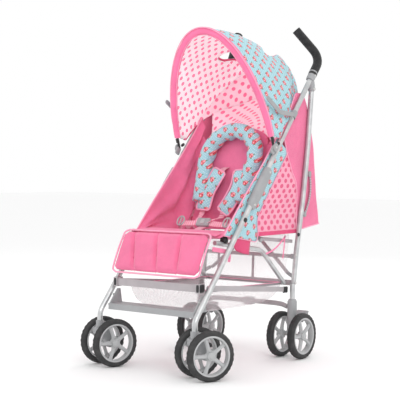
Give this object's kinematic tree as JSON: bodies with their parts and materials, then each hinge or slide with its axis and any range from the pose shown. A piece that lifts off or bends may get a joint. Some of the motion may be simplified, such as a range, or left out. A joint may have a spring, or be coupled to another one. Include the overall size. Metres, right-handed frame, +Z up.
{
  "type": "baby stroller",
  "caption": "Folding umbrella-style baby stroller with twin-wheel corners, swivel casters, reclining fabric seat, folding hood and mesh basket.",
  "frame": {"origin": "on the floor under the middle of the whole stroller", "axes": "+Z up, -Y the way the stroller faces, +X its left side"},
  "size_m": [0.51, 0.7642, 1.0674],
  "materials": {
    "frame_silver": "satin silver-grey",
    "grey_plastic": "moulded, fine grain",
    "black_foam": "soft foam",
    "tyre_rubber": "dull",
    "rim_plastic": "satin",
    "steel": "bright",
    "pink_fabric": "plain weave",
    "floral_fabric": "printed weave",
    "mesh_fabric": "sheer mesh"
  },
  "bodies": {
    "frame": {"front_tube_left": "frame_silver", "handle_grip_left": "black_foam", "handle_bracket_left": "grey_plastic", "hood_pivot_left": "grey_plastic", "stay_collar_left": "grey_plastic", "front_tube_right": "frame_silver", "handle_grip_right": "black_foam", "handle_bracket_right": "grey_plastic", "hood_pivot_right": "grey_plastic", "stay_collar_right": "grey_plastic", "front_crossbar": "frame_silver", "footrest": "grey_plastic", "canopy_rear": "floral_fabric", "seat_liner": "pink_fabric", "calf_rest": "pink_fabric", "rear_cover": "pink_fabric", "basket": "mesh_fabric"},
    "rear_frame": {"rear_leg_left": "frame_silver", "cross_brace_left": "frame_silver", "rear_housing_left": "grey_plastic", "axle_rear_left": "steel", "rear_leg_right": "frame_silver", "cross_brace_right": "frame_silver", "rear_housing_right": "grey_plastic", "axle_rear_right": "steel", "rear_crossbar": "frame_silver"},
    "seat_rail_left": {"seat_rail_left": "frame_silver"},
    "side_bar_left": {"side_bar_left": "frame_silver"},
    "seat_rail_right": {"seat_rail_right": "frame_silver"},
    "side_bar_right": {"side_bar_right": "frame_silver"},
    "hood_front": {"hood_bow": "grey_plastic", "canopy_front": "pink_fabric"},
    "stay_rear_left": {"stay_rear_link_left": "grey_plastic"},
    "stay_front_left": {"stay_front_link_left": "grey_plastic"},
    "stay_rear_right": {"stay_rear_link_right": "grey_plastic"},
    "stay_front_right": {"stay_front_link_right": "grey_plastic"},
    "backrest": {"backrest": "pink_fabric", "head_hugger": "floral_fabric"},
    "brake_left": {"brake_lever_left": "grey_plastic"},
    "brake_right": {"brake_lever_right": "grey_plastic"},
    "caster_left": {"caster_fork_left": "grey_plastic", "axle_front_left": "steel"},
    "caster_right": {"caster_fork_right": "grey_plastic", "axle_front_right": "steel"},
    "wheel_front_left_outer": {"rim_front_left_outer": "rim_plastic", "tyre_front_left_outer": "tyre_rubber"},
    "wheel_front_left_inner": {"rim_front_left_inner": "rim_plastic", "tyre_front_left_inner": "tyre_rubber"},
    "wheel_rear_left_outer": {"rim_rear_left_outer": "rim_plastic", "tyre_rear_left_outer": "tyre_rubber"},
    "wheel_rear_left_inner": {"rim_rear_left_inner": "rim_plastic", "tyre_rear_left_inner": "tyre_rubber"},
    "wheel_front_right_outer": {"rim_front_right_outer": "rim_plastic", "tyre_front_right_outer": "tyre_rubber"},
    "wheel_front_right_inner": {"rim_front_right_inner": "rim_plastic", "tyre_front_right_inner": "tyre_rubber"},
    "wheel_rear_right_outer": {"rim_rear_right_outer": "rim_plastic", "tyre_rear_right_outer": "tyre_rubber"},
    "wheel_rear_right_inner": {"rim_rear_right_inner": "rim_plastic", "tyre_rear_right_inner": "tyre_rubber"}
  },
  "joints": [
    {"name": "fold", "type": "hinge", "parent": "frame", "child": "rear_frame", "pos_m": [-0.01, 0.2861, 0.862], "axis": [-1, 0, 0], "range_deg": [0, 17], "deforming": ["rear_cover", "basket", "seat_liner"]},
    {"name": "seat_rail_left_hinge", "type": "hinge", "parent": "rear_frame", "child": "seat_rail_left", "pos_m": [0.147, 0.1721, 0.237], "axis": [-1, 0, 0], "range_deg": [0, 52.7]},
    {"name": "side_bar_left_hinge", "type": "hinge", "parent": "rear_frame", "child": "side_bar_left", "pos_m": [0.158, 0.1581, 0.219], "axis": [-1, 0, 0], "range_deg": [0, 70.55]},
    {"name": "seat_rail_right_hinge", "type": "hinge", "parent": "rear_frame", "child": "seat_rail_right", "pos_m": [-0.167, 0.1721, 0.237], "axis": [-1, 0, 0], "range_deg": [0, 52.7]},
    {"name": "side_bar_right_hinge", "type": "hinge", "parent": "rear_frame", "child": "side_bar_right", "pos_m": [-0.178, 0.1581, 0.219], "axis": [-1, 0, 0], "range_deg": [0, 70.55]},
    {"name": "hood", "type": "hinge", "parent": "frame", "child": "hood_front", "pos_m": [-0.01, 0.0611, 0.667], "axis": [-1, 0, 0], "range_deg": [0, 45]},
    {"name": "stay_left_rear_hinge", "type": "hinge", "parent": "frame", "child": "stay_rear_left", "pos_m": [0.1842, 0.1551, 0.773], "axis": [1, 0, 0], "range_deg": [0, 22.5]},
    {"name": "stay_left_knee", "type": "hinge", "parent": "stay_rear_left", "child": "stay_front_left", "pos_m": [0.1859, 0.0751, 0.777], "axis": [-1, 0, 0], "range_deg": [0, 121.5]},
    {"name": "stay_right_rear_hinge", "type": "hinge", "parent": "frame", "child": "stay_rear_right", "pos_m": [-0.2042, 0.1551, 0.773], "axis": [1, 0, 0], "range_deg": [0, 22.5]},
    {"name": "stay_right_knee", "type": "hinge", "parent": "stay_rear_right", "child": "stay_front_right", "pos_m": [-0.2059, 0.0751, 0.777], "axis": [-1, 0, 0], "range_deg": [0, 121.5]},
    {"name": "recline", "type": "hinge", "parent": "frame", "child": "backrest", "pos_m": [-0.01, 0.0261, 0.392], "axis": [1, 0, 0], "range_deg": [-18, 0]},
    {"name": "brake_left", "type": "hinge", "parent": "rear_frame", "child": "brake_left", "pos_m": [0.171, 0.2106, 0.1175], "axis": [-1, 0, 0], "range_deg": [0, 18]},
    {"name": "brake_right", "type": "hinge", "parent": "rear_frame", "child": "brake_right", "pos_m": [-0.191, 0.2106, 0.1175], "axis": [-1, 0, 0], "range_deg": [0, 18]},
    {"name": "swivel_left", "type": "hinge", "parent": "frame", "child": "caster_left", "pos_m": [0.171, -0.3239, 0.1], "axis": [0, 0, 1], "continuous": true},
    {"name": "swivel_right", "type": "hinge", "parent": "frame", "child": "caster_right", "pos_m": [-0.191, -0.3239, 0.1], "axis": [0, 0, 1], "continuous": true},
    {"name": "spin_front_left_outer", "type": "hinge", "parent": "caster_left", "child": "wheel_front_left_outer", "pos_m": [0.2192, -0.31403, 0.0725], "axis": [0.8988, -0.4384, 0], "continuous": true},
    {"name": "spin_front_left_inner", "type": "hinge", "parent": "caster_left", "child": "wheel_front_left_inner", "pos_m": [0.1491, -0.27984, 0.0725], "axis": [0.8988, -0.4384, 0], "continuous": true},
    {"name": "spin_rear_left_outer", "type": "hinge", "parent": "rear_frame", "child": "wheel_rear_left_outer", "pos_m": [0.21, 0.1811, 0.0725], "axis": [1, 0, 0], "continuous": true},
    {"name": "spin_rear_left_inner", "type": "hinge", "parent": "rear_frame", "child": "wheel_rear_left_inner", "pos_m": [0.132, 0.1811, 0.0725], "axis": [1, 0, 0], "continuous": true},
    {"name": "spin_front_right_outer", "type": "hinge", "parent": "caster_right", "child": "wheel_front_right_outer", "pos_m": [-0.21811, -0.28284, 0.0725], "axis": [0.9455, -0.3256, 0], "continuous": true},
    {"name": "spin_front_right_inner", "type": "hinge", "parent": "caster_right", "child": "wheel_front_right_inner", "pos_m": [-0.14436, -0.30823, 0.0725], "axis": [0.9455, -0.3256, 0], "continuous": true},
    {"name": "spin_rear_right_outer", "type": "hinge", "parent": "rear_frame", "child": "wheel_rear_right_outer", "pos_m": [-0.23, 0.1811, 0.0725], "axis": [1, 0, 0], "continuous": true},
    {"name": "spin_rear_right_inner", "type": "hinge", "parent": "rear_frame", "child": "wheel_rear_right_inner", "pos_m": [-0.152, 0.1811, 0.0725], "axis": [1, 0, 0], "continuous": true}
  ],
  "couplings": [
    {"joint": "seat_rail_left_hinge", "follows": "fold", "ratio": 3.1},
    {"joint": "side_bar_left_hinge", "follows": "fold", "ratio": 4.15},
    {"joint": "seat_rail_right_hinge", "follows": "fold", "ratio": 3.1},
    {"joint": "side_bar_right_hinge", "follows": "fold", "ratio": 4.15},
    {"joint": "stay_left_rear_hinge", "follows": "hood", "ratio": 0.5},
    {"joint": "stay_left_knee", "follows": "hood", "ratio": 2.7},
    {"joint": "stay_right_rear_hinge", "follows": "hood", "ratio": 0.5},
    {"joint": "stay_right_knee", "follows": "hood", "ratio": 2.7}
  ]
}
